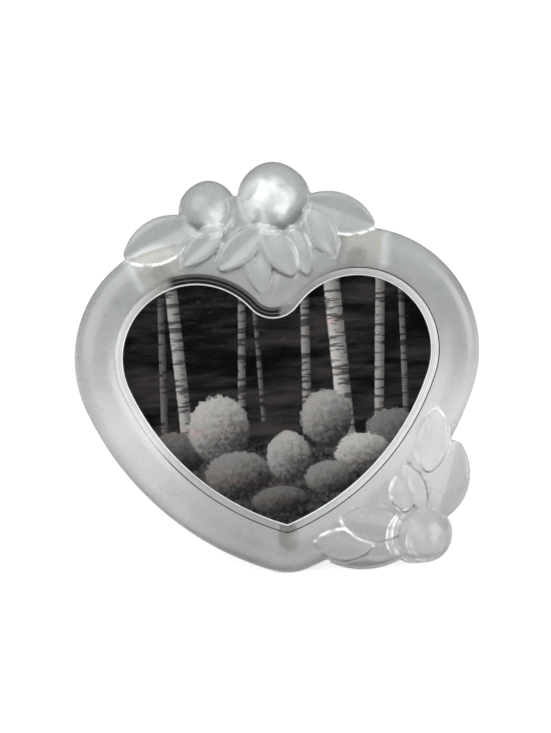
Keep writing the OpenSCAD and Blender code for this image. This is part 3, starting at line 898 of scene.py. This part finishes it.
def card_finish():
    """Grey brown card with fibres and dark specks."""
    f = Finish("filler_card")
    fibres = f.noise(f.flat_mm((0.4, 2.2, 1)), 1.1, 5, 0.7)
    specks = f.noise(f.flat_mm(), 2.2, 2, 0.5)
    colour = f.mix(f.ease(fibres, 0.3, 0.7), (0.42, 0.34, 0.25), (0.56, 0.48, 0.37))
    f.set(base_color=f.mix(f.ease(specks, 0.68, 0.74), colour, (0.2, 0.15, 0.1)), roughness=0.85)
    f.bump(fibres, 0.06)
    return f.material


def board_finish():
    """Brown fibreboard."""
    f = Finish("fibre_board")
    fibres = f.noise(f.object_mm((0.5, 1, 2.5)), 0.9, 6, 0.7, 0.5)
    colour = f.mix(f.ease(fibres, 0.3, 0.7), (0.16, 0.09, 0.05), (0.34, 0.22, 0.13))
    f.set(base_color=colour, roughness=f.ease(fibres, 0.3, 0.7, 0.75, 0.9))
    f.bump(fibres, 0.12)
    return f.material


def velvet_finish(name):
    """Black velvet: a short pile that catches light along its nap, brushed this way and that."""
    f = Finish(name)
    brushed = f.noise(f.object_mm((1, 1, 0.5)), 0.06, 3, 0.5, 0.8)
    pile = f.noise(f.object_mm(), 2.6, 3, 0.7)
    colour = f.mix(f.ease(brushed, 0.4, 0.62), (0.006, 0.006, 0.007), (0.022, 0.021, 0.023))
    colour = f.mix(f.ease(pile, 0.6, 0.8, 0, 0.5), colour, (0.06, 0.058, 0.06))
    f.set(base_color=colour, roughness=0.9)
    f.set(sheen_weight=0.6, sheen_roughness=0.45, sheen_tint=(0.75, 0.75, 0.8, 1))
    f.bump(pile, 0.18)
    return f.material


def glue_finish():
    """Clear glue gone yellow, with small bubbles."""
    f = Finish("glue")
    bubbles = f.cells(f.object_mm(), 0.8)
    patch = f.noise(f.object_mm(), 0.18, 3, 0.5)
    colour = f.mix(f.ease(patch, 0.35, 0.65), (0.93, 0.9, 0.8), (0.97, 0.94, 0.91))
    colour = f.mix(f.ease(bubbles, 0.22, 0.12), colour, (1.0, 0.99, 0.97))
    f.set(base_color=colour, roughness=f.ease(patch, 0.3, 0.7, 0.12, 0.4))
    f.set(ior=1.48, transmission_weight=0.92)
    f.bump(bubbles, 0.08)
    return f.material


def clear_plastic():
    """Moulded clear plastic, faintly yellowed and scuffed."""
    f = Finish("clear_plastic")
    scuff = f.noise(f.object_mm((1, 2, 1)), 0.8, 4, 0.7)
    colour = f.mix(f.ease(scuff, 0.4, 0.7), (0.98, 0.98, 0.96), (0.93, 0.93, 0.9))
    f.set(base_color=colour, roughness=f.ease(scuff, 0.35, 0.75, 0.05, 0.28))
    f.set(ior=1.49, transmission_weight=0.95)
    f.bump(scuff, 0.02)
    return f.material


def steel_finish(name, rough):
    """Plated steel, brushed along the hinge, with a few dull spots."""
    f = Finish(name)
    lines = f.noise(f.object_mm((0.15, 3, 3)), 1.4, 4, 0.65)
    spots = f.noise(f.object_mm(), 0.35, 4, 0.7)
    colour = f.mix(f.ease(lines, 0.3, 0.7), (0.5, 0.5, 0.49), (0.66, 0.66, 0.64))
    colour = f.mix(f.ease(spots, 0.6, 0.75, 0, 0.6), colour, (0.28, 0.24, 0.19))
    f.set(base_color=colour, metallic=1.0, roughness=f.ease(lines, 0.3, 0.7, rough, rough + 0.15))
    f.bump(lines, 0.03)
    return f.material


def dress(node, material):
    """Gives one of the part's own solids its finish."""
    data = frame["nodes"][node].data
    data.materials.clear()
    data.materials.append(material)


casting = glass_casting(satin_glass(), frosted_glass(), polished_glass())
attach(casting, "frame")
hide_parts("glass_body")

dress("photo_print", picture())
dress("filler_card", card_finish())
board = board_finish()
dress("backing_board", board)
dress("leg_board", board)
dress("backing_velvet", velvet_finish("velvet_back"))
dress("leg_velvet", velvet_finish("velvet_leg"))
glue, clear = glue_finish(), clear_plastic()
for side in ("left", "right", "bottom"):
    dress("glue_pad_" + side, glue)
    dress("clip_stud_" + side, clear)
    dress("clip_arm_" + side, clear)
steel, rivet_steel = steel_finish("hinge_steel", 0.25), steel_finish("rivet_steel", 0.35)
for node in ("hinge_fixed_leaf", "hinge_pin", "hinge_moving_leaf"):
    dress(node, steel)
for node in ("fixed_leaf_rivets", "moving_leaf_rivets"):
    dress(node, rivet_steel)


# The studio

# The floor's half width in metres and its tone. It glows towards white from beside the frame to
# far away, between these distances in millimetres
FLOOR_HALF = 6
FLOOR_TONE = 0.8
FLOOR_GLOW, FAR_GLOW = 0.72, 0.96
GLOW_FROM, GLOW_TO = 200, 1500
WORLD_GREY = 0.03


def floor_white():
    """A pale surface that takes shadows, and reads white to the camera and through glass."""
    f = Finish("floor_white")
    f.set(base_color=(FLOOR_TONE, FLOOR_TONE, FLOOR_TONE, 1), roughness=0.9)
    f.set(emission_color=(1, 1, 1, 1))
    path = f.nodes.new("ShaderNodeLightPath").outputs
    seen = f.maths("MAXIMUM", path["Is Camera Ray"], path["Is Glossy Ray"])
    seen = f.maths("MAXIMUM", seen, path["Is Transmission Ray"])
    across, along, _ = f.split(f.object_mm())
    away = f.maths("SQRT", f.maths("MULTIPLY_ADD", across, across, f.maths("MULTIPLY", along, along)))
    glow = f.ease(away, GLOW_FROM, GLOW_TO, FLOOR_GLOW, FAR_GLOW)
    f.set(emission_strength=f.maths("MULTIPLY", seen, glow))
    return f.material


def floor():
    """The ground that the frame stands on, flat and wide."""
    mesh = bpy.data.meshes.new("floor")
    corners = [(x * FLOOR_HALF, y * FLOOR_HALF, 0) for x, y in ((-1, -1), (1, -1), (1, 1), (-1, 1))]
    mesh.from_pydata(corners, [], [(0, 1, 2, 3)])
    piece = bpy.data.objects.new("floor", mesh)
    bpy.context.collection.objects.link(piece)
    mesh.materials.append(floor_white())


def world():
    """White to the camera, and a dim grey for everything else."""
    scene_world = bpy.data.worlds.new("studio")
    scene_world.use_nodes = True
    bpy.context.scene.world = scene_world
    nodes, links = scene_world.node_tree.nodes, scene_world.node_tree.links
    ground, sky = nodes["Background"], nodes.new("ShaderNodeBackground")
    pick = nodes.new("ShaderNodeMixShader")
    ground.inputs["Color"].default_value = (WORLD_GREY, WORLD_GREY, WORLD_GREY, 1)
    sky.inputs["Color"].default_value = (1, 1, 1, 1)
    path = nodes.new("ShaderNodeLightPath").outputs["Is Camera Ray"]
    for socket, value in zip(pick.inputs, (path, ground.outputs[0], sky.outputs[0])):
        links.new(value, socket)
    links.new(pick.outputs[0], nodes["World Output"].inputs["Surface"])


def lamp(name, size, power, place, target):
    """A rectangular lamp that faces its target."""
    light = bpy.data.lights.new(name, "AREA")
    light.shape = "RECTANGLE"
    light.size, light.size_y = size
    light.energy = power
    piece = bpy.data.objects.new(name, light)
    piece.location = place
    piece.rotation_euler = (Vector(target) - Vector(place)).to_track_quat("-Z", "Y").to_euler()
    bpy.context.collection.objects.link(piece)


# The photograph's frame: millimetres to a pixel on the glass, its size, how far the glass is turned
# in it, and where the glass's own axes lie in it
PIXEL = 0.35
WIDE, HIGH = 551, 733
TILT = -0.0623
AXIS_PX, AXIS_PY, UP_PX = 250.385, -71.559, 646.96
# How far the camera stands from the plane that it frames, and that plane's height on the flat glass
CAMERA_AWAY = 600
FRAMED_Z = 7


def flat_point(px, py):
    """The place on the flat glass that a pixel of the photograph shows."""
    a, b = px - AXIS_PX, py - AXIS_PY
    x = a * math.cos(TILT) + b * math.sin(TILT)
    y = a * math.sin(TILT) - b * math.cos(TILT) + UP_PX
    return x * PIXEL, y * PIXEL


def camera():
    """Looks square at the glass, turned and framed as the photograph is."""
    view = bpy.data.cameras.new("camera")
    piece = bpy.data.objects.new("camera", view)
    bpy.context.collection.objects.link(piece)
    x, y = flat_point(WIDE / 2, HIGH / 2)
    c, s = math.cos(TILT), math.sin(TILT)
    turn = Matrix(((c, -s, 0), (s, c, 0), (0, 0, 1)))
    place = Matrix.Translation(STAND @ Vector((x, y, FRAMED_Z + CAMERA_AWAY)))
    piece.matrix_world = place @ (STAND.to_3x3().normalized() @ turn).to_4x4()
    view.sensor_fit = "HORIZONTAL"
    view.angle = 2 * math.atan(WIDE * PIXEL / 2 / CAMERA_AWAY)
    bpy.context.scene.camera = piece


floor()
world()
lamp("key", (1.0, 1.0), 10, (-0.5, -0.5, 0.7), (0, 0, 0.07))
lamp("fill", (0.6, 0.6), 6, (0.7, -0.4, 0.4), (0, 0, 0.07))
camera()
bpy.context.scene.view_settings.view_transform = "Standard"
